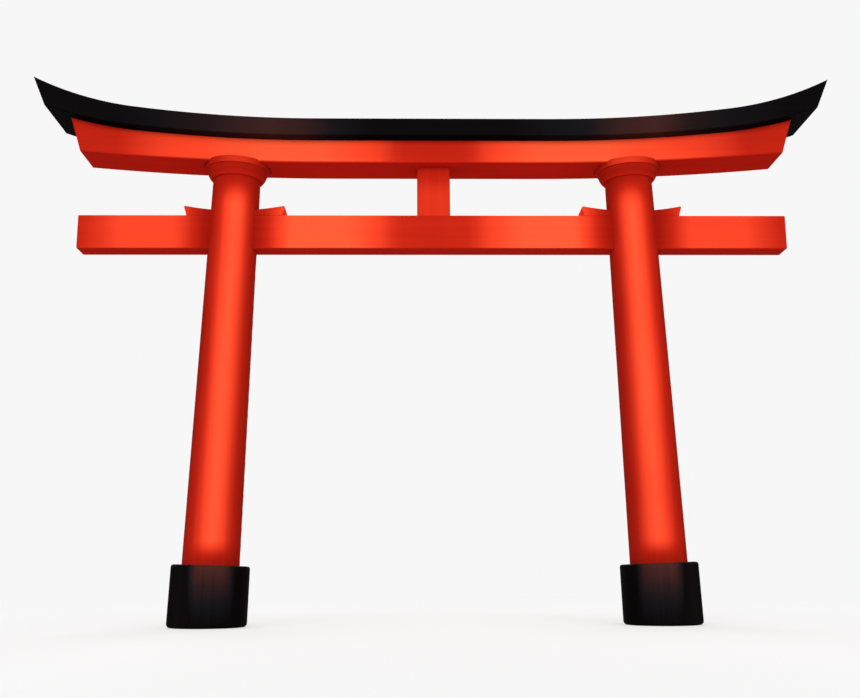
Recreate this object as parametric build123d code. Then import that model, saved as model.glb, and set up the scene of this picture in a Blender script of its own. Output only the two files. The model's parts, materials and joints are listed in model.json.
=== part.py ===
from build123d import *

import os
from math import asin, cos, degrees, hypot, radians, sin, tan

# A timber torii gate. Each round pillar leans in towards the passage, stands in a
# sleeve at its foot and wears a capital under the lintel. The tie beam runs through
# both pillars and is locked by wedges, a short strut stands on it at mid-span, and a
# lintel in two layers sweeps up towards its ends: the sub-lintel below, and above it
# the cap beam, a front and a rear timber with ridge boards over their joint.
#
# Millimetres. X runs along the beams, Y through the passage with the front at -Y, and
# Z up. The origin is on the ground, midway between the pillars.

# ---- pillars ----
pillar_spacing = 3390.0  # centre to centre at the ground
pillar_lean = 2.0  # degrees, towards the passage
pillar_foot_diameter = 436.0
pillar_neck_diameter = 371.0

# ---- sleeves round the pillars' feet ----
sleeve_height = 450.0
sleeve_foot_diameter = 588.0
sleeve_top_diameter = 582.0
sleeve_foot_rounding = 28.0
sleeve_top_rounding = 20.0

# ---- tie beam ----
tie_length = 5590.0
tie_depth = 190.0
tie_height = 270.0
tie_underside = 2885.0  # clear height of the passage
tie_edge_chamfer = 4.0

# ---- wedges over the tie beam, driven in from both sides of a pillar ----
wedge_outer_reach = 388.0  # from the pillar's axis to the tip
wedge_inner_reach = 411.0
wedge_thin_end = 40.0
wedge_thick_end = 80.0
wedge_hollow = 10.0  # how far its top sags below a straight line
wedge_undercut = 24.0
wedge_tip_rounding = 9.0
wedge_parting = 12.0  # between the two thin ends, at the axis

# ---- strut ----
strut_height = 407.0  # from the tie beam to the sub-lintel
strut_width = 260.0
strut_depth = 180.0
strut_edge_chamfer = 9.0

# ---- sub-lintel ----
sublintel_half_length = 2868.0  # to its upper corner
sublintel_depth = 380.0
sublintel_height = 186.0  # at mid-span
sublintel_end_rake = 17.0  # degrees from upright
sublintel_level = 800.0  # half of the level middle of its underside
sublintel_radius = 21500.0  # of the sweep beyond
sublintel_edge_chamfer = 7.0

# ---- cap beam ----
cap_half_length = 3150.0  # to its tip
cap_overhang = 100.0  # past the sub-lintel's face
cap_height = 140.0  # of its face at mid-span
cap_end_rake = 22.5  # degrees from upright
cap_ridge_rise = 40.0
cap_level = 900.0  # half of its level middle
cap_shoulder = 2350.0  # where the gentle sweep meets the tight one
cap_lower_gentle_radius = 13000.0
cap_lower_tight_radius = 3000.0
cap_upper_gentle_radius = 11000.0
cap_upper_tight_radius = 2500.0
cap_edge_chamfer = 5.0

# ---- ridge boards ----
ridge_width = 140.0
ridge_thickness = 20.0
ridge_end_setback = 60.0  # short of the cap beam's ends
ridge_joint = 2000.0  # from mid-span to where the middle board meets an outer one

# ---- capitals ----
capital_plate_diameter = 530.0
capital_plate_thickness = 42.0
capital_plate_taper = 16.0  # how much smaller the radius of its lower edge is
capital_collar_height = 84.0
capital_collar_brim = 10.0  # of the plate's underside that shows round the collar
capital_collar_lip = 14.0  # the collar's own thickness at its lower edge
capital_collar_swell = 9.0  # how far its side bulges past a straight slope
capital_let_in = 14.0  # into the sub-lintel's underside

# ---- joinery ----
pillar_tenon = 120.0
pillar_tenon_length = 100.0  # above the capital
strut_tenon_width = 90.0
strut_tenon_depth = 70.0
strut_tenon_length = 100.0
side_clearance = 0.5
end_clearance = 4.0

# ---- derived ----
SIDES = {"left": -1, "right": 1}
WEDGES = {"outer": (1, wedge_outer_reach), "inner": (-1, wedge_inner_reach)}
lean = radians(pillar_lean)
tie_top = tie_underside + tie_height
sublintel_underside = tie_top + strut_height
cap_underside = sublintel_underside + sublintel_height
cap_depth = sublintel_depth + 2 * cap_overhang
past_tips = cap_half_length + cap_height  # where the lintel's outlines end before the cut
far = 2 * cap_half_length  # past every piece


class Sweep:
    """An outline from mid-span outwards: level, then arcs that turn upwards."""

    def __init__(self, height, *bends):
        """Takes the level height, and where each arc starts with its radius."""
        self.height = height
        self.bends = bends

    def arcs_to(self, x):
        """Each arc's radius and its slopes, in radians, where it starts and ends."""
        ends = [start for start, _ in self.bends[1:]] + [x]
        turned, arcs = 0.0, []
        for (start, radius), end in zip(self.bends, ends):
            run = max(0.0, min(end, x) - start)
            turn = asin(sin(turned) + run / radius)
            arcs.append((radius, turned, turn))
            turned = turn
        return arcs

    def at(self, x):
        """The outline's height at x."""
        return self.height + sum(r * (cos(a) - cos(b)) for r, a, b in self.arcs_to(x))

    def edges(self):
        """The outline on the right of mid-span, drawn as X and height."""
        edges = [Line((0, self.height), (self.bends[0][0], self.height))]
        for radius, start, end in self.arcs_to(past_tips):
            turn = degrees(end - start)
            edges.append(JernArc(edges[-1] @ 1, edges[-1] % 1, radius, turn))
        return edges


sublintel_lower = Sweep(sublintel_underside, (sublintel_level, sublintel_radius))
cap_lower = Sweep(
    cap_underside,
    (cap_level, cap_lower_gentle_radius),
    (cap_shoulder, cap_lower_tight_radius),
)


def cap_upper(rise):
    """The cap beam's upper outline, lifted by rise."""
    return Sweep(
        cap_underside + cap_height + rise,
        (cap_level, cap_upper_gentle_radius),
        (cap_shoulder, cap_upper_tight_radius),
    )


cap_tip_height = cap_upper(0).at(cap_half_length)


def axis_x(z):
    """Distance of a pillar's axis from mid-span at height z."""
    return pillar_spacing / 2 - z * tan(lean)


head_z = sublintel_lower.at(axis_x(sublintel_underside)) + capital_let_in
head = head_z / cos(lean)  # length of a pillar's axis up to the capital's top
neck = head - capital_plate_thickness  # and up to the pillar's shoulder
below_ground = -sleeve_foot_diameter * tan(lean)  # where leaning pieces start


# ---- helpers ----
def pillar_radius(along):
    """A pillar's radius at a length along its axis."""
    taper = (pillar_foot_diameter - pillar_neck_diameter) / 2 / neck
    return pillar_foot_diameter / 2 - taper * along


def cone(bottom_radius, top_radius, low, high):
    """A frustum round +Z between two heights."""
    base = (Align.CENTER, Align.CENTER, Align.MIN)
    return Pos(0, 0, low) * Cone(bottom_radius, top_radius, high - low, align=base)


def block(width, depth, low, high):
    """A box centred on Z between two heights."""
    base = (Align.CENTER, Align.CENTER, Align.MIN)
    return Pos(0, 0, low) * Box(width, depth, high - low, align=base)


def on_pillar(side, shape):
    """Stands a shape drawn round +Z on a pillar's leaning axis."""
    frame = Plane(
        origin=(side * pillar_spacing / 2, 0, 0),
        x_dir=(cos(lean), 0, side * sin(lean)),
        z_dir=(-side * sin(lean), 0, cos(lean)),
    )
    return frame * shape


def above_ground(shape):
    """Cuts a shape off at the ground."""
    return shape & block(far, far, 0, far)


def log_space(clearance, low, high):
    """The room of a pillar's own log between two lengths along its axis."""
    return cone(pillar_radius(low) + clearance, pillar_radius(high) + clearance, low, high)


def band(lower, upper):
    """The face between two outlines, on both sides of mid-span."""
    middle = Line(lower[0] @ 0, upper[0] @ 0)
    end = Line(lower[-1] @ 1, upper[-1] @ 1)
    half = make_face(Curve() + [middle, *lower, end, *upper])
    return half + mirror(half, about=Plane.YZ)


def level(height):
    """A level outline, as a Sweep's edges are."""
    return [Line((0, height), (past_tips, height))]


def raked(half_length, height, rake):
    """A plate whose slanted ends are half_length from mid-span at a height."""
    foot = half_length - height * tan(radians(rake))
    top = half_length + (far - height) * tan(radians(rake))
    return make_face(Polyline((-foot, 0), (foot, 0), (top, far), (-top, far), close=True))


def slab(face, depth):
    """An outline extruded to a depth centred on the gate's middle plane."""
    return extrude(Plane.XZ * face, amount=depth / 2, both=True)


def strut_mortise(low, high):
    """The room that the strut's tenon takes in a beam."""
    width = strut_tenon_width + 2 * side_clearance
    depth = strut_tenon_depth + 2 * side_clearance
    return block(width, depth, low, high)


def pillar_mortise(low, high):
    """The room that a pillar's top tenon takes, along its axis."""
    width = pillar_tenon + 2 * side_clearance
    return block(width, width, low, high)


# ---- pillars and their feet ----
def pillar(side):
    """A tapered log, mortised for the tie beam, with a tenon on its head."""
    tenon = block(pillar_tenon, pillar_tenon, neck, head + pillar_tenon_length)
    log = above_ground(on_pillar(side, log_space(0, below_ground, neck) + tenon))
    depth = tie_depth + 2 * side_clearance
    through = block(2 * pillar_foot_diameter, depth, tie_underside, tie_top)
    log -= Pos(side * axis_x(tie_underside), 0, 0) * through
    parting = block(wedge_parting, tie_depth, tie_top, tie_top + wedge_thin_end)
    log -= Pos(side * axis_x(tie_top), 0, 0) * parting
    return log - [wedge(side, *way) for way in WEDGES.values()]


def foot_sleeve(side):
    """The sleeve round a pillar's foot, before it is parted."""
    taper = (sleeve_foot_diameter - sleeve_top_diameter) / 2 / sleeve_height
    low_radius = sleeve_foot_diameter / 2 - taper * below_ground
    outer = cone(low_radius, sleeve_top_diameter / 2, below_ground, sleeve_height)
    outer = above_ground(on_pillar(side, outer))
    outer = fillet(outer.faces().sort_by(Axis.Z)[0].edges(), sleeve_foot_rounding)
    outer = fillet(outer.faces().sort_by(Axis.Z)[-1].edges(), sleeve_top_rounding)
    return outer - on_pillar(side, log_space(side_clearance, below_ground, sleeve_height))


def sleeve_halves(side):
    """A pillar's sleeve, parted into a front and a rear half."""
    sleeve = foot_sleeve(side)
    return {
        "front": split(sleeve, bisect_by=Plane.XZ, keep=Keep.TOP),
        "rear": split(sleeve, bisect_by=Plane.XZ, keep=Keep.BOTTOM),
    }


# ---- capitals ----
def capital_plate(side):
    """The disc between a pillar and the sub-lintel, with the tenon's hole."""
    radius = capital_plate_diameter / 2
    plate = cone(radius - capital_plate_taper, radius, neck, head)
    return on_pillar(side, plate - pillar_mortise(neck, head))


def capital_collar(side):
    """The rounded collar round a pillar's neck, under the plate."""
    low = neck - capital_collar_height
    lower = (pillar_radius(low) + side_clearance + capital_collar_lip, low)
    brim = capital_plate_diameter / 2 - capital_plate_taper - capital_collar_brim
    upper = (brim, neck)
    run, rise = upper[0] - lower[0], upper[1] - lower[1]
    slope = hypot(run, rise)
    bulge = (
        lower[0] + run / 2 + capital_collar_swell * rise / slope,
        lower[1] + rise / 2 - capital_collar_swell * run / slope,
    )
    rest = Polyline(upper, (0, neck), (0, low), lower)
    outline = make_face(ThreePointArc(lower, bulge, upper) + rest)
    turned = revolve(Plane.XZ * outline, axis=Axis.Z)
    return on_pillar(side, turned - log_space(side_clearance, low, neck))


# ---- tie beam, its wedges and the strut ----
def tie_beam():
    """The beam through both pillars, with the strut's mortise in its top."""
    beam = block(tie_length, tie_depth, tie_underside, tie_top)
    beam = chamfer(beam.edges(), tie_edge_chamfer)
    return beam - strut_mortise(tie_top - strut_tenon_length - end_clearance, tie_top)


def wedge(side, outwards, reach):
    """A wedge on the tie beam, its thin end near the pillar's axis."""
    span = reach - wedge_parting / 2
    thin = (0, wedge_thin_end)
    tip = (span, wedge_thick_end)
    middle = (span / 2, (wedge_thin_end + wedge_thick_end) / 2 - wedge_hollow)
    rest = Polyline(tip, (span - wedge_undercut, 0), (0, 0), thin)
    outline = make_face(ThreePointArc(thin, middle, tip) + rest)
    outline = fillet(outline.vertices().sort_by(Axis.X)[-1], wedge_tip_rounding)
    solid = Pos(wedge_parting / 2, 0, 0) * slab(outline, tie_depth)
    if side * outwards < 0:
        solid = mirror(solid, about=Plane.YZ)
    return Pos(side * axis_x(tie_top), 0, tie_top) * solid


def strut():
    """The short post at mid-span, tenoned into the beams below and above."""
    post = block(strut_width, strut_depth, tie_top, sublintel_underside)
    post = chamfer(post.edges().filter_by(Axis.Z), strut_edge_chamfer)
    low = tie_top - strut_tenon_length
    high = sublintel_underside + strut_tenon_length
    return post + block(strut_tenon_width, strut_tenon_depth, low, high)


# ---- lintel ----
def sublintel():
    """The lower layer of the lintel, seated on the capitals and the strut."""
    corner = cap_lower.at(sublintel_half_length)
    outline = band(sublintel_lower.edges(), cap_lower.edges())
    outline &= raked(sublintel_half_length, corner, sublintel_end_rake)
    beam = slab(outline, sublintel_depth)
    faces = beam.faces().sort_by(Axis.Y)
    beam = chamfer(faces[0].edges() + faces[-1].edges(), sublintel_edge_chamfer)
    base = (Align.CENTER, Align.CENTER, Align.MAX)
    plate = Cylinder(capital_plate_diameter / 2, capital_plate_thickness, align=base)
    for side in SIDES.values():
        beam -= on_pillar(side, Pos(0, 0, head) * plate)
        beam -= on_pillar(side, pillar_mortise(head, head + pillar_tenon_length + end_clearance))
    high = sublintel_underside + strut_tenon_length + end_clearance
    return beam - strut_mortise(sublintel_underside, high)


def cap_timber(front):
    """One of the cap beam's two timbers, its top sloped up to the ridge."""
    half_depth = cap_depth / 2
    body = band(cap_lower.edges(), level(far))
    body &= raked(cap_half_length, cap_tip_height, cap_end_rake)
    under_roof = Plane.XZ * band(level(0), cap_upper(0).edges())
    roof = Pos(0, -half_depth, 0) * extrude(
        under_roof, amount=hypot(half_depth, cap_ridge_rise), dir=(0, half_depth, cap_ridge_rise)
    )
    timber = extrude(Plane.XZ * body, amount=half_depth) & roof
    timber = chamfer(timber.faces().sort_by(Axis.Y)[0].edges(), cap_edge_chamfer)
    return timber if front else mirror(timber, about=Plane.XZ)


def ridge_boards(timbers):
    """The boards over the joint between the cap beam's timbers, end to end."""
    outline = band(cap_upper(0).edges(), cap_upper(cap_ridge_rise + ridge_thickness).edges())
    outline &= raked(cap_half_length - ridge_end_setback, cap_tip_height, cap_end_rake)
    boards = slab(outline, ridge_width) - timbers
    middle = split(boards, bisect_by=Plane.YZ.offset(ridge_joint), keep=Keep.BOTTOM)
    return {
        "left": split(boards, bisect_by=Plane.YZ.offset(-ridge_joint), keep=Keep.BOTTOM),
        "middle": split(middle, bisect_by=Plane.YZ.offset(-ridge_joint), keep=Keep.TOP),
        "right": split(boards, bisect_by=Plane.YZ.offset(ridge_joint), keep=Keep.TOP),
    }


nodes = {"tie_beam": tie_beam(), "strut": strut(), "sublintel": sublintel()}
for name, side in SIDES.items():
    nodes[f"{name}_pillar"] = pillar(side)
    nodes[f"{name}_capital_plate"] = capital_plate(side)
    nodes[f"{name}_capital_collar"] = capital_collar(side)
    for place, way in WEDGES.items():
        nodes[f"{name}_{place}_wedge"] = wedge(side, *way)
    for half, solid in sleeve_halves(side).items():
        nodes[f"{name}_foot_sleeve_{half}"] = solid
nodes["cap_beam_front"] = cap_timber(front=True)
nodes["cap_beam_rear"] = cap_timber(front=False)
for place, board in ridge_boards([nodes["cap_beam_front"], nodes["cap_beam_rear"]]).items():
    nodes[f"cap_ridge_{place}"] = board

os.makedirs("parts", exist_ok=True)
for name, solid in nodes.items():
    export_step(solid, f"parts/{name}.step")
print("cubic metres:", sum(solid.volume for solid in nodes.values()) / 1e9)
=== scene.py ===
import json
import logging
import math
from collections.abc import Mapping, Sequence
from dataclasses import dataclass
from enum import Enum

import bmesh
import bpy
from mathutils import Matrix, Vector


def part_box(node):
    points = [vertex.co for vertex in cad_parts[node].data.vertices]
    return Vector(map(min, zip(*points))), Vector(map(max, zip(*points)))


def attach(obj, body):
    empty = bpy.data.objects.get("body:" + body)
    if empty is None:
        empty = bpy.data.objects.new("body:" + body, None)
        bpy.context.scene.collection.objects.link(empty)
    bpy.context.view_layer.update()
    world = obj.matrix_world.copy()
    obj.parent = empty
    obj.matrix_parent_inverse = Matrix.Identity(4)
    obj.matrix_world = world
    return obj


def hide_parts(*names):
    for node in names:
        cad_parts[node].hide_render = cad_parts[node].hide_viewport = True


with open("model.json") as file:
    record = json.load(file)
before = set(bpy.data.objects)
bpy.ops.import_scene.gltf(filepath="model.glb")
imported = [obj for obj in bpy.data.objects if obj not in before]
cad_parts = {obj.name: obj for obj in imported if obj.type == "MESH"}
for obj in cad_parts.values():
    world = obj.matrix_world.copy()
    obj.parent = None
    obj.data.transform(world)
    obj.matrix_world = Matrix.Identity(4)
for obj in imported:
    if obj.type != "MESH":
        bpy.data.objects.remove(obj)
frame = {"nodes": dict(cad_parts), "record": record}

log = logging.getLogger("torii")

# The look of a timber torii gate: vermilion paint on its pillars and beams, black
# lacquer on its cap, and staved black sleeves at its feet. Metres. X runs along the
# beams, Y through the passage with the front at -Y, and Z up from the ground.

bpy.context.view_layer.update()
FEET = {mount["name"]: Vector(mount["pos_m"]) for mount in frame["record"]["mounts"]}
LEAN = math.radians(2.0)  # of each pillar, towards the passage
MM = 0.001


class Side(Enum):
    """A side of the gate, as seen from the front."""

    LEFT = -1
    RIGHT = 1

    @property
    def word(self) -> str:
        """The side's name as the nodes spell it."""
        return self.name.lower()

    @property
    def foot(self) -> Vector:
        """Where this side's pillar stands."""
        return FEET[f"{self.word}_foot"]


class Grain(Enum):
    """The way that a timber's grain runs, with its stretch along each axis."""

    ALONG_BEAM = (1.0, 0.0, 0.0)
    UPRIGHT = (0.0, 0.0, 1.0)

    def scale(self, length: float, width: float) -> Vector:
        """The pattern's scale where one figure is length long and width wide."""
        return Vector(1 / (length if along else width) for along in self.value)


def linear(hex_colour: str) -> tuple[float, float, float, float]:
    """Turns an sRGB colour into linear light.

    Args:
        hex_colour: the colour as #RRGGBB.

    Returns:
        Red, green, blue and an alpha of 1.
    """
    parts = [int(hex_colour[place : place + 2], 16) / 255 for place in (1, 3, 5)]
    light = [p / 12.92 if p <= 0.04045 else ((p + 0.055) / 1.055) ** 2.4 for p in parts]
    return (*light, 1.0)


def result(node: bpy.types.Node) -> bpy.types.NodeSocket:
    """A node's first output that is in use."""
    return next(output for output in node.outputs if output.enabled)


def add_node(
    tree: bpy.types.NodeTree,
    kind: str,
    inputs: Sequence | Mapping = (),
    stops: Sequence[tuple[float, str | float]] = (),
    **settings: object,
) -> bpy.types.Node:
    """Adds one node to a tree, sets it up and feeds its inputs.

    Args:
        tree: the tree that gets the node.
        kind: Blender's name for the type of node.
        inputs: what each input gets, in order or by name: a value, a socket, a node
            whose result feeds it, or None to leave it alone.
        stops: a colour ramp's stops, each a place with a hex colour or a grey level.
        **settings: the node's own properties.

    Returns:
        The new node.
    """
    node = tree.nodes.new(kind)
    for name, value in settings.items():
        setattr(node, name, value)
    if isinstance(inputs, Mapping):
        pairs = [(node.inputs[name], value) for name, value in inputs.items()]
    else:
        pairs = list(zip((s for s in node.inputs if s.enabled), inputs))
    for socket, value in pairs:
        if isinstance(value, bpy.types.Node):
            value = result(value)
        if isinstance(value, bpy.types.NodeSocket):
            tree.links.new(value, socket)
        elif value is not None:
            socket.default_value = value
    for number, (place, tone) in enumerate(stops):
        elements = node.color_ramp.elements
        element = elements[number] if number < 2 else elements.new(place)
        element.position = place
        element.color = linear(tone) if isinstance(tone, str) else (tone, tone, tone, 1.0)
    return node


# ---- finishes ----
class Spot:
    """The sockets that say where on the object a shader is, and which way it faces."""

    UNDERNEATH = (-0.85, -0.45)  # the normal's Z, from wholly underneath to not at all
    ENDWAYS = (0.6, 0.85)  # the normal's X either way, from not endways to wholly so

    def __init__(self, tree: bpy.types.NodeTree) -> None:
        """Adds the nodes that read the place and the surface's direction.

        Args:
            tree: the material's node tree.
        """
        read = add_node(tree, "ShaderNodeTexCoord").outputs
        self.point = read["Object"]
        place = add_node(tree, "ShaderNodeSeparateXYZ", [self.point]).outputs
        self.x, self.z = place["X"], place["Z"]
        self.out_x = add_node(tree, "ShaderNodeMath", [self.x], operation="ABSOLUTE")
        facing = add_node(tree, "ShaderNodeSeparateXYZ", [read["Normal"]]).outputs
        self.facing_x, self.facing_y = facing["X"], facing["Y"]
        self.underneath = add_node(
            tree, "ShaderNodeMapRange", [facing["Z"], *self.UNDERNEATH, 1.0, 0.0]
        )
        sideways = add_node(tree, "ShaderNodeMath", [self.facing_x], operation="ABSOLUTE")
        self.endways = add_node(tree, "ShaderNodeMapRange", [sideways, *self.ENDWAYS, 0.0, 1.0])


@dataclass(frozen=True)
class PaintedTimber:
    """Planed cypress under a brushed coat, which its subclasses colour.

    The coat hides the wood's colour but not its grain: the growth rings stand out as
    fine raised streaks along the timber. Its sheen varies a little with the brush.
    """

    name: str
    grain: Grain
    roughness: float
    sheen: float  # the Principled shader's specular level, 0.5 for a hard gloss coat
    sheen_tint: str  # the colour of the coat's highlights

    # Lengths along the grain and widths across it. Growth rings and brush strokes are
    # drawn twice as wide as real ones, so that they show.
    RING_SIZE = (0.5, 9 * MM)
    STROKE_SIZE = (1.3, 45 * MM)
    PATCH_SIZE = (0.7, 0.7)
    # How many finer layers each pattern has.
    RING_LAYERS = 3.0
    STROKE_LAYERS = 3.0
    PATCH_LAYERS = 2.0
    SHEEN_LAYERS = 2.0
    NOISE_RANGE = (0.3, 0.7)  # where most of a pattern's values lie
    RELIEF = 0.5 * MM  # of the rings
    RELIEF_STRENGTH = 0.35  # how much of it shows through the coat
    IOR = 1.5
    ROUGHNESS_SPREAD = 0.06
    ROUGH_UNRUBBED = 1.0  # under the timbers and at their ends and sides, where nobody rubs

    def noise(
        self, tree: bpy.types.NodeTree, spot: Spot, size: tuple[float, float], layers: float
    ) -> bpy.types.Node:
        """Adds a noise pattern with a mean of 0.5.

        Args:
            tree: the material's node tree.
            spot: where on the object the shader is.
            size: one figure's length along the grain and its width across.
            layers: how many finer layers the pattern has.

        Returns:
            The noise node.
        """
        scale = self.grain.scale(*size)
        place = add_node(tree, "ShaderNodeMapping", {"Vector": spot.point, "Scale": scale})
        return add_node(
            tree, "ShaderNodeTexNoise", {"Vector": place, "Scale": 1.0, "Detail": layers}
        )

    def colour(self, tree: bpy.types.NodeTree, spot: Spot) -> bpy.types.Node:
        """The coat's colour, which each kind of coat works out in its own way.

        Args:
            tree: the material's node tree.
            spot: where on the object the shader is.

        Returns:
            The node that gives the colour.
        """
        raise NotImplementedError

    def uneven(
        self, tree: bpy.types.NodeTree, spot: Spot, tone: bpy.types.Node | float, share: float
    ) -> bpy.types.Node:
        """Adds the coat's patches and brush strokes to a tone.

        Args:
            tree: the material's node tree.
            spot: where on the object the shader is.
            tone: the tone to vary, from 0 to 1.
            share: how much of the range the variation may take.

        Returns:
            The varied tone.
        """
        patches = self.noise(tree, spot, self.PATCH_SIZE, self.PATCH_LAYERS)
        strokes = self.noise(tree, spot, self.STROKE_SIZE, self.STROKE_LAYERS)
        both = add_node(tree, "ShaderNodeMath", [patches, strokes], operation="ADD")
        centred = add_node(tree, "ShaderNodeMath", [both, 1.0], operation="SUBTRACT")
        return add_node(tree, "ShaderNodeMath", [centred, share, tone], operation="MULTIPLY_ADD")

    def build(self) -> bpy.types.Material:
        """Makes the material.

        Returns:
            The material, which reads Object coordinates alone.
        """
        material = bpy.data.materials.new(self.name)
        material.use_nodes = True
        tree = material.node_tree
        shader = tree.nodes["Principled BSDF"]
        spot = Spot(tree)
        tree.links.new(result(self.colour(tree, spot)), shader.inputs["Base Color"])
        brushed = self.noise(tree, spot, self.STROKE_SIZE, self.SHEEN_LAYERS)
        least, most = self.roughness - self.ROUGHNESS_SPREAD, self.roughness + self.ROUGHNESS_SPREAD
        rubbed = add_node(tree, "ShaderNodeMapRange", [brushed, *self.NOISE_RANGE, least, most])
        unrubbed = add_node(
            tree, "ShaderNodeMath", [spot.underneath, spot.endways], operation="MAXIMUM"
        )
        rough = add_node(tree, "ShaderNodeMix", [unrubbed, rubbed, self.ROUGH_UNRUBBED])
        tree.links.new(rough.outputs[0], shader.inputs["Roughness"])
        rings = self.noise(tree, spot, self.RING_SIZE, self.RING_LAYERS)
        relief = {"Height": rings, "Strength": self.RELIEF_STRENGTH, "Distance": self.RELIEF}
        bump = add_node(tree, "ShaderNodeBump", relief)
        tree.links.new(bump.outputs[0], shader.inputs["Normal"])
        shader.inputs["IOR"].default_value = self.IOR
        shader.inputs["Specular IOR Level"].default_value = self.sheen
        shader.inputs["Specular Tint"].default_value = linear(self.sheen_tint)
        return material


@dataclass(frozen=True)
class Vermilion(PaintedTimber):
    """Matt vermilion paint of pigment and glue, with painted light and shade in its tone.

    Lit zones are painted orange, shaded zones deep red, and undersides deeper red as shade.
    """

    roughness: float = 0.9
    sheen: float = 0.02
    sheen_tint: str = "#FF8A5A"

    # from painted shade (deep red) to painted light (orange)
    TONES = (
        (0.0, "#97150A"),
        (0.33, "#C42514"),
        (0.6, "#E63A22"),
        (0.8, "#FC4628"),
        (1.0, "#FF5A36"),
    )
    # the faces underneath, in painted shade
    UNDERSIDE_TONES = ((0.3, "#C41C0F"), (0.7, "#EC2A18"))
    UNDERSIDE_MEAN = 0.5  # the middle of those
    VARIATION = 0.16
    SHELTERED = 0.12  # the painted lightness of painted shade: beside the capital, over the sleeve, on the collar

    def exposure(self, tree: bpy.types.NodeTree, spot: Spot) -> bpy.types.Node | float:
        """How light the painted light and shade make the paint, which each kind of piece works out.

        Args:
            tree: the material's node tree.
            spot: where on the object the shader is.

        Returns:
            The painted lightness from 0 to 1, or the node that gives it.
        """
        raise NotImplementedError

    def colour(self, tree: bpy.types.NodeTree, spot: Spot) -> bpy.types.Node:
        """The paint's colour with its painted light and shade and random mottling, and its painted
        shade underneath.

        Args:
            tree: the material's node tree.
            spot: where on the object the shader is.

        Returns:
            The node that gives the colour.
        """
        tone = self.uneven(tree, spot, self.exposure(tree, spot), self.VARIATION)
        lit_shaded_and_mottled = add_node(tree, "ShaderNodeValToRGB", [tone], stops=self.TONES)
        tone = self.uneven(tree, spot, self.UNDERSIDE_MEAN, self.VARIATION)
        painted_underside_shade = add_node(tree, "ShaderNodeValToRGB", [tone], stops=self.UNDERSIDE_TONES)
        return add_node(
            tree, "ShaderNodeMix", [spot.underneath, lit_shaded_and_mottled, painted_underside_shade], data_type="RGBA"
        )


@dataclass(frozen=True)
class RoundPaint(Vermilion):
    """Vermilion on a round piece, with painted highlights front and rear and painted shade at the
    sides.
    """

    inward: int = 1  # which way along X the passage lies

    TURN = math.radians(9.0)  # of the painted highlight's line round to the passage
    # painted lightness by facing: painted shade at the sides, painted highlights front and rear
    AROUND = (
        (0.0, 0.05),
        (0.32, 0.13),
        (0.56, 0.21),
        (0.735, 0.29),
        (0.865, 0.5),
        (0.953, 0.8),
        (1.0, 0.95),
    )

    def exposure(self, tree: bpy.types.NodeTree, spot: Spot) -> bpy.types.Node:
        """Follows AROUND from the painted shade at the sides to the painted highlights, front and
        rear.

        Args:
            tree: the material's node tree.
            spot: where on the object the shader is.

        Returns:
            The node that gives the exposure.
        """
        ahead = add_node(tree, "ShaderNodeMath", [spot.facing_y], operation="ABSOLUTE")
        ahead = add_node(tree, "ShaderNodeMath", [ahead, math.cos(self.TURN)], operation="MULTIPLY")
        across = self.inward * math.sin(self.TURN)
        faced = add_node(
            tree, "ShaderNodeMath", [spot.facing_x, across, ahead], operation="MULTIPLY_ADD"
        )
        return add_node(tree, "ShaderNodeValToRGB", [faced], stops=self.AROUND)


@dataclass(frozen=True)
class PlatePaint(RoundPaint):
    """Vermilion on a capital's plate, darker all round as painted shade under the lintel."""

    sun: float = 1.0  # painted light, against that on the left plate

    AROUND = (
        (0.0, 0.1),
        (0.4, 0.15),
        (0.7, 0.24),
        (0.9, 0.44),
        (1.0, 0.54),
    )

    def exposure(self, tree: bpy.types.NodeTree, spot: Spot) -> bpy.types.Node:
        """Follows AROUND, scaled by the plate's painted brightness."""
        around = super().exposure(tree, spot)
        return add_node(tree, "ShaderNodeMath", [around, self.sun], operation="MULTIPLY")


@dataclass(frozen=True)
class PillarPaint(RoundPaint):
    """Vermilion on a pillar, with painted shade under its capital and over its sleeve as well."""

    neck: float = 3.5  # height of the capital's lower edge
    sleeve: float = 0.45  # height of the sleeve

    OVER_SLEEVE = (0.02, 0.19)  # above the sleeve, from full painted shade to none
    UNDER_NECK = (0.26, 0.01)  # below the neck, from no painted shade to full

    def exposure(self, tree: bpy.types.NodeTree, spot: Spot) -> bpy.types.Node:
        """Follows AROUND, but paints shade next to the capital and the sleeve.

        Args:
            tree: the material's node tree.
            spot: where on the object the shader is.

        Returns:
            The node that gives the exposure.
        """
        low, high = (self.sleeve + rise for rise in self.OVER_SLEEVE)
        around = super().exposure(tree, spot)
        over_sleeve = add_node(
            tree,
            "ShaderNodeMapRange",
            [spot.z, low, high, self.SHELTERED, around],
            interpolation_type="SMOOTHSTEP",
        )
        low, high = (self.neck - drop for drop in self.UNDER_NECK)
        return add_node(
            tree,
            "ShaderNodeMapRange",
            [spot.z, low, high, over_sleeve, self.SHELTERED],
            interpolation_type="SMOOTHSTEP",
        )


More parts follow.
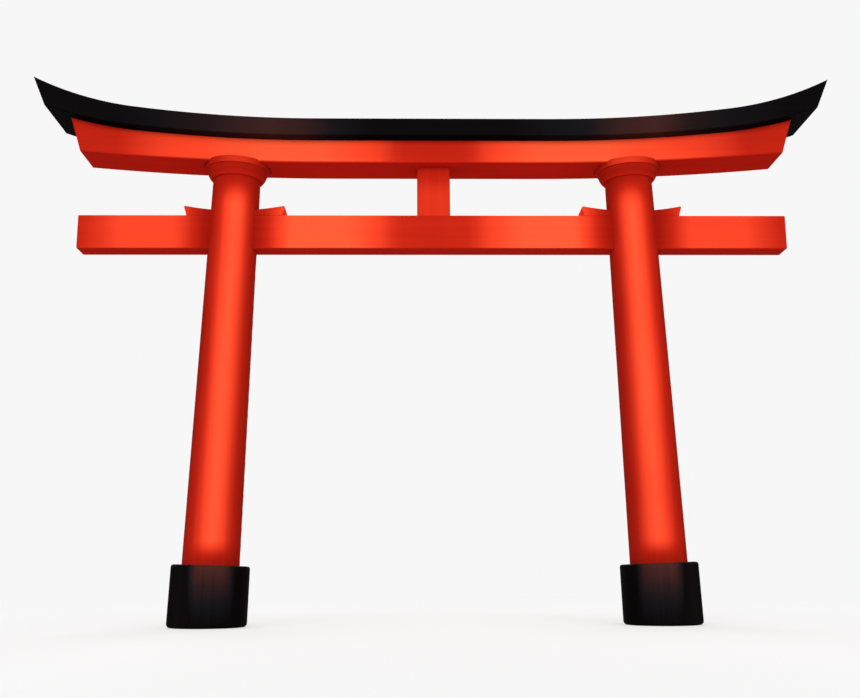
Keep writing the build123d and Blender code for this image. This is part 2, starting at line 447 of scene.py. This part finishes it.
@dataclass(frozen=True)
class TieBeamPaint(Vermilion):
    """Vermilion on the tie beam and its wedges.

    It has painted shade at mid-span, beside the pillars and at the ends.
    """

    half_length: float = 2.795
    pillar_out: float = 1.59  # from mid-span to a pillar's axis, at the beam's height
    pillar_radius: float = 0.19  # at the same height

    BESIDE_PILLAR = 0.02  # the share of the painted lightness that remains there, in painted shade
    SHELTER_START = 0.03  # inside the pillar's face, where the painted shade starts to fade
    SHELTER_WIDTH = 0.34  # from there to where the painted shade ends
    # painted lightness along the beam, from mid-span (0) to the ends (1)
    ALONG = (
        (0.0, 0.3),
        (0.09, 0.34),
        (0.12, 0.46),
        (0.15, 0.68),
        (0.18, 0.82),
        (0.25, 1.0),
        (0.4, 1.0),
        (0.68, 0.8),
        (0.88, 0.78),
        (0.94, 0.5),
        (1.0, 0.28),
    )

    def exposure(self, tree: bpy.types.NodeTree, spot: Spot) -> bpy.types.Node:
        """Follows ALONG from mid-span to the ends, and paints shade beside the pillars.

        Args:
            tree: the material's node tree.
            spot: where on the object the shader is.

        Returns:
            The node that gives the exposure.
        """
        share = add_node(tree, "ShaderNodeMath", [spot.out_x, self.half_length], operation="DIVIDE")
        along = add_node(tree, "ShaderNodeValToRGB", [share], stops=self.ALONG)
        offset = add_node(
            tree, "ShaderNodeMath", [spot.out_x, self.pillar_out], operation="SUBTRACT"
        )
        apart = add_node(tree, "ShaderNodeMath", [offset], operation="ABSOLUTE")
        near = self.pillar_radius - self.SHELTER_START
        beside = add_node(
            tree,
            "ShaderNodeMapRange",
            [apart, near, near + self.SHELTER_WIDTH, self.BESIDE_PILLAR, 1.0],
            interpolation_type="SMOOTHSTEP",
        )
        return add_node(tree, "ShaderNodeMath", [along, beside], operation="MULTIPLY")


@dataclass(frozen=True)
class SublintelPaint(Vermilion):
    """Vermilion on the sub-lintel, with painted light just inside the pillars.

    It has painted shade at mid-span and at the ends.
    """

    half_length: float = 2.868

    # painted lightness along the beam, from mid-span (0) to the ends (1)
    ALONG = (
        (0.0, 0.3),
        (0.08, 0.33),
        (0.11, 0.42),
        (0.146, 0.68),
        (0.18, 0.8),
        (0.22, 0.86),
        (0.3, 1.0),
        (0.46, 1.0),
        (0.68, 0.78),
        (0.75, 0.68),
        (0.87, 0.3),
        (1.0, 0.27),
    )

    def exposure(self, tree: bpy.types.NodeTree, spot: Spot) -> bpy.types.Node:
        """Follows ALONG from mid-span to the ends."""
        share = add_node(tree, "ShaderNodeMath", [spot.out_x, self.half_length], operation="DIVIDE")
        return add_node(tree, "ShaderNodeValToRGB", [share], stops=self.ALONG)


@dataclass(frozen=True)
class CollarPaint(Vermilion):
    """Vermilion on a capital's collar, in painted shade all round under the plate and the lintel.
    """

    def exposure(self, tree: bpy.types.NodeTree, spot: Spot) -> float:
        """The same all over."""
        return self.SHELTERED


@dataclass(frozen=True)
class StrutPaint(Vermilion):
    """Vermilion on the strut, with painted shade under the lintel."""

    lintel: float = 3.562  # height of the sub-lintel's underside at mid-span

    SHELTER_HEIGHT = 0.26  # how far down the lintel's painted shade reaches
    UPWARDS = (0.5, 0.2)  # the painted lightness below that, and right under the lintel

    def exposure(self, tree: bpy.types.NodeTree, spot: Spot) -> bpy.types.Node:
        """Darkens towards the lintel, as painted shade."""
        return add_node(
            tree,
            "ShaderNodeMapRange",
            [spot.z, self.lintel - self.SHELTER_HEIGHT, self.lintel, *self.UPWARDS],
            interpolation_type="SMOOTHSTEP",
        )


@dataclass(frozen=True)
class BlackLacquer(PaintedTimber):
    """Black lacquer, brushed over cypress and rubbed to a satin.

    Its subclasses paint a brown reflection of the red timbers, and a bluish one beside it.
    """

    roughness: float = 0.55
    sheen: float = 0.015
    sheen_tint: str = "#FFFFFF"


@dataclass(frozen=True)
class CapLacquer(BlackLacquer):
    """Black lacquer on the cap beam, with a painted brown reflection near each pillar."""

    half_length: float = 3.15

    # black, with a painted brown reflection near each pillar and bluish painted reflections at its
    # edges
    ZONES = (
        (0.1, "#070405"),
        (0.15, "#0C0A0D"),
        (0.222, "#201413"),
        (0.262, "#301B1A"),
        (0.3, "#381E1B"),
        (0.335, "#30191A"),
        (0.373, "#121014"),
        (0.42, "#070405"),
        (0.6, "#070405"),
        (0.67, "#101014"),
        (0.695, "#141216"),
        (0.738, "#351D1B"),
        (0.778, "#3E201D"),
        (0.817, "#211414"),
        (0.87, "#0F0D10"),
        (0.95, "#070405"),
    )
    VARIATION = 0.02  # of the zones' edges, as a share of the cap's length

    def colour(self, tree: bpy.types.NodeTree, spot: Spot) -> bpy.types.Node:
        """Follows ZONES from the left end to the right.

        Args:
            tree: the material's node tree.
            spot: where on the object the shader is.

        Returns:
            The node that gives the colour.
        """
        along = add_node(
            tree, "ShaderNodeMapRange", [spot.x, -self.half_length, self.half_length, 0.0, 1.0]
        )
        along = self.uneven(tree, spot, along, self.VARIATION)
        return add_node(tree, "ShaderNodeValToRGB", [along], stops=self.ZONES)


@dataclass(frozen=True)
class SleeveLacquer(BlackLacquer):
    """Black lacquer on a foot sleeve, with one painted brown reflection high up, front and rear."""

    out: float = 1.635  # from mid-span to the middle of the painted reflection
    height: float = 0.45
    half_width: float = 0.17  # of the painted reflection
    depth: float = 0.42  # how far down the painted reflection reaches

    # painted reflection: brown at its middle, through bluish to the lacquer's black
    BURNT = (
        (0.05, "#482622"),
        (0.22, "#3C211F"),
        (0.4, "#2B1B1C"),
        (0.62, "#1A1417"),
        (0.78, "#101014"),
        (0.9, "#0E0B0D"),
        (1.0, "#0B0708"),
    )
    STEEPNESS = 4.0  # of the zone's edges to the left and right
    VARIATION = 0.12

    def colour(self, tree: bpy.types.NodeTree, spot: Spot) -> bpy.types.Node:
        """Fades the painted reflection from brown through bluish to black, away from the top of the
        front and rear.

        Args:
            tree: the material's node tree.
            spot: where on the object the shader is.

        Returns:
            The node that gives the colour.
        """
        sideways = add_node(tree, "ShaderNodeMath", [spot.out_x, self.out], operation="SUBTRACT")
        sideways = add_node(tree, "ShaderNodeMath", [sideways, self.half_width], operation="DIVIDE")
        sideways = add_node(tree, "ShaderNodeMath", [sideways, self.STEEPNESS], operation="POWER")
        down = add_node(tree, "ShaderNodeMath", [self.height, spot.z], operation="SUBTRACT")
        down = add_node(tree, "ShaderNodeMath", [down, self.depth], operation="DIVIDE")
        away = add_node(tree, "ShaderNodeCombineXYZ", [sideways, down, 0.0])
        distance = add_node(tree, "ShaderNodeVectorMath", [away], operation="LENGTH")
        distance = self.uneven(tree, spot, distance.outputs["Value"], self.VARIATION)
        return add_node(tree, "ShaderNodeValToRGB", [distance], stops=self.BURNT)


@dataclass(frozen=True)
class ForgedIron:
    """Forged iron blackened in oil: dark and dull, with small hammer marks."""

    name: str

    TONES = ((0.35, "#1B1817"), (0.65, "#2E2724"))
    METALLIC = 0.8  # the oil's black skin hides some of the metal
    ROUGHNESS = 0.55
    MARK_SIZE = 6 * MM  # hammer marks, drawn as large as half a nail's head
    MARK_LAYERS = 1.0
    MARK_DEPTH = 0.4 * MM
    MARK_STRENGTH = 0.5

    def build(self) -> bpy.types.Material:
        """Makes the material.

        Returns:
            The material, which reads Object coordinates alone.
        """
        material = bpy.data.materials.new(self.name)
        material.use_nodes = True
        tree = material.node_tree
        shader = tree.nodes["Principled BSDF"]
        point = add_node(tree, "ShaderNodeTexCoord").outputs["Object"]
        pattern = {"Vector": point, "Scale": 1 / self.MARK_SIZE, "Detail": self.MARK_LAYERS}
        marks = add_node(tree, "ShaderNodeTexNoise", pattern)
        colour = add_node(tree, "ShaderNodeValToRGB", [marks], stops=self.TONES)
        tree.links.new(colour.outputs[0], shader.inputs["Base Color"])
        relief = {"Height": marks, "Strength": self.MARK_STRENGTH, "Distance": self.MARK_DEPTH}
        bump = add_node(tree, "ShaderNodeBump", relief)
        tree.links.new(bump.outputs[0], shader.inputs["Normal"])
        shader.inputs["Metallic"].default_value = self.METALLIC
        shader.inputs["Roughness"].default_value = self.ROUGHNESS
        return material


def dress(finish: PaintedTimber, *nodes: str) -> None:
    """Gives CAD nodes a finish.

    Args:
        finish: the finish.
        *nodes: the nodes' names.
    """
    material = finish.build()
    for name in nodes:
        for material_slot in frame["nodes"][name].material_slots:
            material_slot.material = material
        log.info("%s wears %s", name, finish.name)


# ---- what repeats ----
class Repeat:
    """A tree of Geometry Nodes that lays out copies of one seed shape."""

    def __init__(self, name: str, sizes: Mapping[str, str]) -> None:
        """Starts the tree with an input for the seed and one for each size.

        Args:
            name: the tree's name.
            sizes: each size's name with the kind of its socket.
        """
        self.tree = bpy.data.node_groups.new(name, "GeometryNodeTree")
        face = self.tree.interface
        face.new_socket("Geometry", in_out="OUTPUT", socket_type="NodeSocketGeometry")
        face.new_socket("Seed", in_out="INPUT", socket_type="NodeSocketGeometry")
        for size, kind in sizes.items():
            face.new_socket(size, in_out="INPUT", socket_type=kind)
        self.given = add_node(self.tree, "NodeGroupInput").outputs

    def end(self, geometry: bpy.types.Node, material: bpy.types.Material) -> None:
        """Ends the tree with real geometry that wears a material.

        Args:
            geometry: the node whose first output is the geometry.
            material: what it wears.
        """
        real = add_node(self.tree, "GeometryNodeRealizeInstances", [geometry])
        worn = add_node(
            self.tree, "GeometryNodeSetMaterial", {"Geometry": real, "Material": material}
        )
        add_node(self.tree, "NodeGroupOutput", [worn])

    def run(
        self, name: str, seed: bpy.types.Mesh, sizes: Mapping[str, object]
    ) -> bpy.types.Object:
        """Runs the tree on a seed and keeps the result as a plain mesh.

        Args:
            name: the new piece's name.
            seed: the shape to copy.
            sizes: each size's name with its value.

        Returns:
            The piece, at the origin, unturned and unscaled.
        """
        piece = bpy.data.objects.new(name, seed)
        bpy.context.scene.collection.objects.link(piece)
        modifier = piece.modifiers.new(self.tree.name, "NODES")
        modifier.node_group = self.tree
        for socket in self.tree.interface.items_tree:
            if socket.name in sizes:
                modifier[socket.identifier] = sizes[socket.name]
        evaluated = piece.evaluated_get(bpy.context.evaluated_depsgraph_get())
        laid_out = bpy.data.meshes.new_from_object(evaluated)
        piece.modifiers.remove(modifier)
        piece.data = laid_out
        laid_out.name = name
        return piece


def finished_mesh(name: str, shape: bmesh.types.BMesh, sharp: float) -> bpy.types.Mesh:
    """Turns a bmesh into a mesh with outward faces, smooth but for its sharp edges.

    Args:
        name: the mesh's name.
        shape: the bmesh, which is freed.
        sharp: the angle, in degrees, from which an edge stays sharp.

    Returns:
        The mesh.
    """
    bmesh.ops.recalc_face_normals(shape, faces=shape.faces)
    mesh = bpy.data.meshes.new(name)
    shape.to_mesh(mesh)
    shape.free()
    mesh.shade_smooth()
    mesh.set_sharp_from_angle(angle=math.radians(sharp))
    return mesh


# ---- sub-assemblies ----
@dataclass
class Pillar:
    """A leaning round pillar with its capital."""

    side: Side
    edge_rise: float = 0.01  # from the leaning collar's lowest point to the middle of its edge

    PLATE_SUN = {Side.LEFT: 1.0, Side.RIGHT: 1.35}  # painted light on each plate, against that on the left plate

    def build(self) -> None:
        """Dresses the log, the capital's plate and its collar."""
        word, inward = self.side.word, -self.side.value
        pillar, plate, collar = (
            f"{word}_{piece}" for piece in ("pillar", "capital_plate", "capital_collar")
        )
        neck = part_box(collar)[0].z + self.edge_rise
        dress(PillarPaint(f"vermilion_{pillar}", Grain.UPRIGHT, inward=inward, neck=neck), pillar)
        sun = self.PLATE_SUN[self.side]
        dress(PlatePaint(f"vermilion_{plate}", Grain.ALONG_BEAM, inward=inward, sun=sun), plate)
        dress(CollarPaint(f"vermilion_{collar}", Grain.ALONG_BEAM), collar)


@dataclass
class TieBeam:
    """The beam through both pillars, with its wedges and the strut that stands on it."""

    def build(self) -> None:
        """Dresses the beam, the wedges and the strut."""
        wedges = [f"{side.word}_{place}_wedge" for side in Side for place in ("outer", "inner")]
        dress(TieBeamPaint("vermilion_tie_beam", Grain.ALONG_BEAM), "tie_beam", *wedges)
        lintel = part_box("sublintel")[0].z
        dress(StrutPaint("vermilion_strut", Grain.UPRIGHT, lintel=lintel), "strut")


@dataclass
class Lintel:
    """The vermilion sub-lintel and the black cap beam over it."""

    def build(self) -> None:
        """Dresses both layers and the boards along the ridge."""
        dress(SublintelPaint("vermilion_sublintel", Grain.ALONG_BEAM), "sublintel")
        dress(
            CapLacquer("black_cap_lacquer", Grain.ALONG_BEAM),
            "cap_beam_front",
            "cap_beam_rear",
            "cap_ridge_left",
            "cap_ridge_middle",
            "cap_ridge_right",
        )


@dataclass
class RidgeNails:
    """Forged nails with domed heads, in pairs along the boards on the ridge."""

    spacing: float = 0.36  # along the boards, at most
    rows_apart: float = 84 * MM
    margin: float = 0.1  # between a board's end and its last pair
    head_radius: float = 9 * MM
    head_height: float = 4 * MM
    sunk: float = 1 * MM
    lift: float = 0.36  # above a board's highest point, where the heads start to drop

    ROWS = 2
    HEAD_SIDES = 12
    SHARP = 60  # degrees, from which an edge of a head stays sharp
    DOME = ((1.0, 0.15), (0.82, 0.55), (0.45, 0.9))  # rings: share of the radius and of the height

    def head(self) -> bpy.types.Mesh:
        """Builds one nail's head round +Z, closed below.

        Returns:
            The mesh.
        """
        shape = bmesh.new()
        foot = (1.0, -self.sunk / self.head_height)
        rings = []
        for across, up in (foot, *self.DOME):
            radius, height = across * self.head_radius, up * self.head_height
            ring = []
            for side in range(self.HEAD_SIDES):
                angle = math.tau * side / self.HEAD_SIDES
                place = (radius * math.cos(angle), radius * math.sin(angle), height)
                ring.append(shape.verts.new(place))
            rings.append(ring)
        for lower, upper in zip(rings, rings[1:]):
            for side in range(self.HEAD_SIDES):
                after = (side + 1) % self.HEAD_SIDES
                shape.faces.new((lower[side], lower[after], upper[after], upper[side]))
        crown = shape.verts.new((0, 0, self.head_height))
        for side in range(self.HEAD_SIDES):
            shape.faces.new((rings[-1][side], rings[-1][(side + 1) % self.HEAD_SIDES], crown))
        shape.faces.new(rings[0])
        return finished_mesh("nail_head", shape, self.SHARP)

    def layout(self) -> Repeat:
        """Builds the tree that drops a grid of heads onto a board and seats them on it.

        Returns:
            The tree.
        """
        sizes = {
            "Board": "NodeSocketObject",
            "Middle": "NodeSocketVector",
            "Length": "NodeSocketFloat",
            "Rows Apart": "NodeSocketFloat",
            "Pairs": "NodeSocketInt",
        }
        repeat = Repeat("nails_on_board", sizes)
        tree, given = repeat.tree, repeat.given
        grid = add_node(
            tree,
            "GeometryNodeMeshGrid",
            {
                "Size X": given["Length"],
                "Size Y": given["Rows Apart"],
                "Vertices X": given["Pairs"],
                "Vertices Y": self.ROWS,
            },
        )
        above = add_node(
            tree, "GeometryNodeTransform", {"Geometry": grid, "Translation": given["Middle"]}
        )
        board = add_node(tree, "GeometryNodeObjectInfo", {"Object": given["Board"]})
        down = add_node(
            tree,
            "GeometryNodeRaycast",
            {"Target Geometry": board.outputs["Geometry"], "Ray Direction": (0, 0, -1)},
        ).outputs
        square_on = add_node(
            tree, "FunctionNodeAlignRotationToVector", {"Vector": down["Hit Normal"]}
        )
        heads = add_node(
            tree,
            "GeometryNodeInstanceOnPoints",
            {"Points": above, "Instance": given["Seed"], "Rotation": square_on},
        )
        seated = add_node(
            tree, "GeometryNodeSetPosition", {"Geometry": heads, "Position": down["Hit Position"]}
        )
        repeat.end(seated, ForgedIron("blackened_forged_iron").build())
        return repeat

    def build(self) -> None:
        """Nails down each board."""
        repeat = self.layout()
        for place in ("left", "middle", "right"):
            board = f"cap_ridge_{place}"
            low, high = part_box(board)
            length = high.x - low.x - 2 * self.margin
            middle = (low + high) / 2
            sizes = {
                "Board": frame["nodes"][board],
                "Middle": (middle.x, 0.0, high.z + self.lift),
                "Length": length,
                "Rows Apart": self.rows_apart,
                "Pairs": math.ceil(length / self.spacing) + 1,
            }
            nails = repeat.run(f"ridge_nails_{place}", self.head(), sizes)
            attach(nails, "root")
            log.info("%s: %d pairs", nails.name, sizes["Pairs"])


@dataclass
class FootSleeve:
    """The black sleeve round a pillar's foot: staves that were planed round in place.

    The sleeve leans with its pillar, and its foot is cut level with the ground.
    """

    side: Side
    staves: int = 24
    height: float = 0.45
    foot_radius: float = 0.294
    top_radius: float = 0.291
    foot_rounding: float = 28 * MM
    top_rounding: float = 20 * MM
    log_foot_radius: float = 0.218
    log_top_radius: float = 0.2137
    fit: float = 1 * MM  # between the log and the staves
    joint_width: float = 2.4 * MM  # of the V between two staves
    joint_depth: float = 1.2 * MM
    joint_gap: float = 0.3 * MM

    ROUNDING_STEPS = 5
    FACE_STEPS = 4
    SHARP = 30  # degrees, from which an edge of a stave stays sharp

    def outer(self, height: float) -> float:
        """The outer radius at a height."""
        return self.foot_radius - (self.foot_radius - self.top_radius) * height / self.height

    def profile(self) -> list[tuple[float, float]]:
        """Draws a stave's outline from its inner foot round to its inner top.

        Returns:
            The outline's points, each a radius and a height.
        """
        outline = [(self.log_foot_radius + self.fit, 0.0)]
        steps = range(self.ROUNDING_STEPS + 1)
        turns = [math.pi / 2 * step / self.ROUNDING_STEPS for step in steps]
        for turn in turns:
            height = self.foot_rounding * (1 - math.cos(turn))
            outline.append((self.outer(height) - self.foot_rounding * (1 - math.sin(turn)), height))
        for turn in turns:
            height = self.height - self.top_rounding * (1 - math.sin(turn))
            outline.append((self.outer(height) - self.top_rounding * (1 - math.cos(turn)), height))
        return [*outline, (self.log_top_radius + self.fit, self.height)]

    def stave(self) -> bpy.types.Mesh:
        """Builds one stave round +Z, facing +X, with its outer corners taken off.

        Returns:
            The mesh.
        """
        half = math.pi / self.staves
        edge = half - self.joint_gap / 2 / self.foot_radius
        shoulder = half - self.joint_width / 2 / self.foot_radius
        steps = range(self.FACE_STEPS + 1)
        face = [(shoulder * (2 * step / self.FACE_STEPS - 1), 0.0) for step in steps]
        stations = [(-edge, self.joint_depth), *face, (edge, self.joint_depth)]
        outline = self.profile()
        inner = {outline[0], outline[-1]}
        shape = bmesh.new()
        columns = []
        for angle, inset in stations:
            column = []
            for radius, height in outline:
                reach = radius if (radius, height) in inner else radius - inset
                place = (reach * math.cos(angle), reach * math.sin(angle), height)
                column.append(shape.verts.new(place))
            columns.append(column)
        for here, there in zip(columns, columns[1:]):
            for low in range(len(outline)):
                high = (low + 1) % len(outline)
                shape.faces.new((here[low], there[low], there[high], here[high]))
        shape.faces.new(columns[0])
        shape.faces.new(columns[-1])
        return finished_mesh("stave", shape, self.SHARP)

    def layout(self, material: bpy.types.Material) -> Repeat:
        """Builds the tree that stands the staves in a ring and leans the ring.

        Args:
            material: what the staves wear.

        Returns:
            The tree.
        """
        sizes = {
            "Staves": "NodeSocketInt",
            "Height": "NodeSocketFloat",
            "Lean": "NodeSocketFloat",
            "Foot": "NodeSocketVector",
        }
        repeat = Repeat(f"{self.side.word}_sleeve_ring", sizes)
        tree, given = repeat.tree, repeat.given
        points = add_node(
            tree, "GeometryNodeMeshLine", {"Count": given["Staves"], "Offset": (0, 0, 0)}
        )
        step = add_node(tree, "ShaderNodeMath", [math.tau, given["Staves"]], operation="DIVIDE")
        number = add_node(tree, "GeometryNodeInputIndex")
        number = add_node(tree, "ShaderNodeMath", [number, 0.5], operation="ADD")
        turn = add_node(tree, "ShaderNodeMath", [number, step], operation="MULTIPLY")
        turned = add_node(tree, "ShaderNodeCombineXYZ", [0.0, 0.0, turn])
        turned = add_node(tree, "FunctionNodeEulerToRotation", [turned])
        ring = add_node(
            tree,
            "GeometryNodeInstanceOnPoints",
            {"Points": points, "Instance": given["Seed"], "Rotation": turned},
        )
        ring = add_node(tree, "GeometryNodeRealizeInstances", [ring])
        place = add_node(tree, "GeometryNodeInputPosition")
        x, y, z = add_node(tree, "ShaderNodeSeparateXYZ", [place]).outputs
        up = add_node(tree, "ShaderNodeMath", [z, given["Height"]], operation="DIVIDE")
        down = add_node(tree, "ShaderNodeMath", [1.0, up], operation="SUBTRACT")
        slope = add_node(tree, "ShaderNodeMath", [given["Lean"]], operation="TANGENT")
        cut = add_node(tree, "ShaderNodeMath", [x, slope], operation="MULTIPLY")
        cut = add_node(tree, "ShaderNodeMath", [cut, down], operation="MULTIPLY")
        level = add_node(tree, "ShaderNodeMath", [z, cut], operation="SUBTRACT")
        place = add_node(tree, "ShaderNodeCombineXYZ", [x, y, level])
        back = add_node(tree, "ShaderNodeMath", [given["Lean"], -1.0], operation="MULTIPLY")
        place = add_node(
            tree,
            "ShaderNodeVectorRotate",
            {"Vector": place, "Angle": back},
            rotation_type="Y_AXIS",
        )
        place = add_node(tree, "ShaderNodeVectorMath", [place, given["Foot"]], operation="ADD")
        leaning = add_node(tree, "GeometryNodeSetPosition", {"Geometry": ring, "Position": place})
        repeat.end(leaning, material)
        return repeat

    def build(self) -> None:
        """Builds the staves in the place of the sleeve's two halves."""
        word = self.side.word
        finish = SleeveLacquer(f"black_{word}_sleeve_lacquer", Grain.UPRIGHT)
        sizes = {
            "Staves": self.staves,
            "Height": self.height,
            "Lean": self.side.value * LEAN,
            "Foot": tuple(self.side.foot),
        }
        piece = self.layout(finish.build()).run(f"{word}_foot_sleeve_staves", self.stave(), sizes)
        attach(piece, "root")
        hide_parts(f"{word}_foot_sleeve_front", f"{word}_foot_sleeve_rear")
        log.info("%s: %d staves", piece.name, self.staves)


# ---- studio ----
@dataclass(frozen=True)
class Softbox:
    """A large soft lamp far away."""

    name: str
    azimuth: float  # degrees, 0 from the front and positive from the right
    elevation: float  # degrees above the horizon
    share: float  # of the light that shows a surface facing it in its own colour
    softness: float  # degrees across

    def build(self) -> None:
        """Adds the lamp."""
        lamp = bpy.data.lights.new(self.name, "SUN")
        lamp.energy = self.share * math.pi
        lamp.angle = math.radians(self.softness)
        rig = bpy.data.objects.new(self.name, lamp)
        turn = Matrix.Rotation(math.radians(self.azimuth), 3, "Z")
        dip = Matrix.Rotation(math.radians(90 - self.elevation), 3, "X")
        rig.rotation_euler = (turn @ dip).to_euler()
        bpy.context.scene.collection.objects.link(rig)


@dataclass(frozen=True)
class Studio:
    """A pale floor and backdrop, and soft light all round."""

    pale: str = "#F7F7F7"
    fill: float = 0.36  # strength of the white light from all round
    floor_bounce: float = 0.5  # the floor's grey where it throws light back at the gate
    floor_size: float = 60.0
    floor_cells: int = 8  # along each side
    floor_light: float = 0.88  # how brightly the lamps light a level surface
    floor_lit: float = 0.5  # the share of the floor's tone that the lamps make near the gate
    shadow_near: float = 2.5  # from mid-span to where the floor's shadows start to fade
    shadow_reach: float = 9.0  # where they have faded out

    SOFTBOXES = (
        Softbox("front_left_softbox", -20, 9, 0.37, 35),
        Softbox("front_right_softbox", 20, 9, 0.37, 35),
        Softbox("rear_left_softbox", -160, 12, 0.33, 35),
        Softbox("rear_right_softbox", 160, 12, 0.33, 35),
        Softbox("top_softbox", 0, 82, 0.3, 70),
    )

    def seen_directly(self, tree: bpy.types.NodeTree) -> bpy.types.Node:
        """Tells rays from the camera, off gloss or through glass from all others.

        Args:
            tree: the node tree of the world or the floor.

        Returns:
            The node that gives 1 for such a ray and otherwise 0.
        """
        path = add_node(tree, "ShaderNodeLightPath").outputs
        gloss = [path["Is Glossy Ray"], path["Is Transmission Ray"]]
        either = add_node(tree, "ShaderNodeMath", gloss, operation="MAXIMUM")
        return add_node(
            tree, "ShaderNodeMath", [path["Is Camera Ray"], either], operation="MAXIMUM"
        )

    def backdrop(self) -> None:
        """Makes the world: pale where it shows, and a soft fill light elsewhere."""
        world = bpy.data.worlds.new("backdrop")
        bpy.context.scene.world = world
        world.use_nodes = True
        tree = world.node_tree
        tree.nodes.clear()
        shown = add_node(tree, "ShaderNodeBackground", [linear(self.pale), 1.0])
        filling = add_node(tree, "ShaderNodeBackground", [linear("#FFFFFF"), self.fill])
        both = add_node(tree, "ShaderNodeMixShader", [self.seen_directly(tree), filling, shown])
        add_node(tree, "ShaderNodeOutputWorld", [both])

    def floor_material(self) -> bpy.types.Material:
        """Makes the floor's material, which keeps the gate's shadow near the gate.

        Returns:
            The material.
        """
        material = bpy.data.materials.new("matt_pale_floor")
        material.use_nodes = True
        tree = material.node_tree
        tree.nodes.clear()
        spot = add_node(tree, "ShaderNodeTexCoord").outputs["Object"]
        distance = add_node(tree, "ShaderNodeVectorMath", [spot], operation="LENGTH")
        lit = add_node(
            tree,
            "ShaderNodeMapRange",
            [distance.outputs["Value"], self.shadow_near, self.shadow_reach, self.floor_lit, 0.0],
            interpolation_type="SMOOTHSTEP",
        )
        glow = add_node(tree, "ShaderNodeMath", [1.0, lit], operation="SUBTRACT")
        glowing = add_node(tree, "ShaderNodeEmission", [linear(self.pale), glow])
        tone = linear(self.pale)[0] / self.floor_light
        matt = add_node(tree, "ShaderNodeMath", [lit, tone], operation="MULTIPLY")
        shaded = add_node(tree, "ShaderNodeBsdfDiffuse", [matt])
        shown = add_node(tree, "ShaderNodeAddShader", [glowing, shaded])
        grey = (self.floor_bounce,) * 3
        bouncing = add_node(tree, "ShaderNodeBsdfDiffuse", [(*grey, 1.0)])
        both = add_node(tree, "ShaderNodeMixShader", [self.seen_directly(tree), bouncing, shown])
        add_node(tree, "ShaderNodeOutputMaterial", [both])
        return material

    def floor(self) -> None:
        """Lays the floor."""
        sheet = bpy.data.meshes.new("floor")
        shape = bmesh.new()
        cells, half = self.floor_cells, self.floor_size / 2
        bmesh.ops.create_grid(shape, x_segments=cells, y_segments=cells, size=half)
        shape.to_mesh(sheet)
        shape.free()
        sheet.materials.append(self.floor_material())
        floor = bpy.data.objects.new("floor", sheet)
        bpy.context.scene.collection.objects.link(floor)

    def build(self) -> None:
        """Adds the backdrop, the floor and the lamps."""
        self.backdrop()
        self.floor()
        for softbox in self.SOFTBOXES:
            softbox.build()
        bpy.context.scene.view_settings.view_transform = "Standard"


@dataclass(frozen=True)
class Viewpoint:
    """The camera: a person close to the gate who looks slightly up."""

    lens: float = 46.05  # millimetres
    sensor: float = 36.0
    place: tuple[float, float, float] = (-0.2074, -8.4, 0.370)
    tilt: float = 11.61  # degrees above level
    turn: float = 1.185  # degrees to the right
    roll: float = 0.306  # degrees

    def build(self) -> None:
        """Adds the camera and makes it the scene's own."""
        camera = bpy.data.cameras.new("camera")
        camera.lens = self.lens
        camera.sensor_width = self.sensor
        rig = bpy.data.objects.new("camera", camera)
        turned = Matrix.Rotation(math.radians(-self.turn), 3, "Z")
        tilted = Matrix.Rotation(math.radians(90 + self.tilt), 3, "X")
        rolled = Matrix.Rotation(math.radians(-self.roll), 3, "Z")
        rig.location = self.place
        rig.rotation_euler = (turned @ tilted @ rolled).to_euler()
        bpy.context.scene.collection.objects.link(rig)
        bpy.context.scene.camera = rig


def main() -> None:
    """Builds the studio and the camera, then each sub-assembly."""
    logging.basicConfig(level=logging.INFO)
    Studio().build()
    Viewpoint().build()
    for side in Side:
        Pillar(side).build()
        FootSleeve(side).build()
    TieBeam().build()
    Lintel().build()
    RidgeNails().build()


if __name__ == "__main__":
    main()
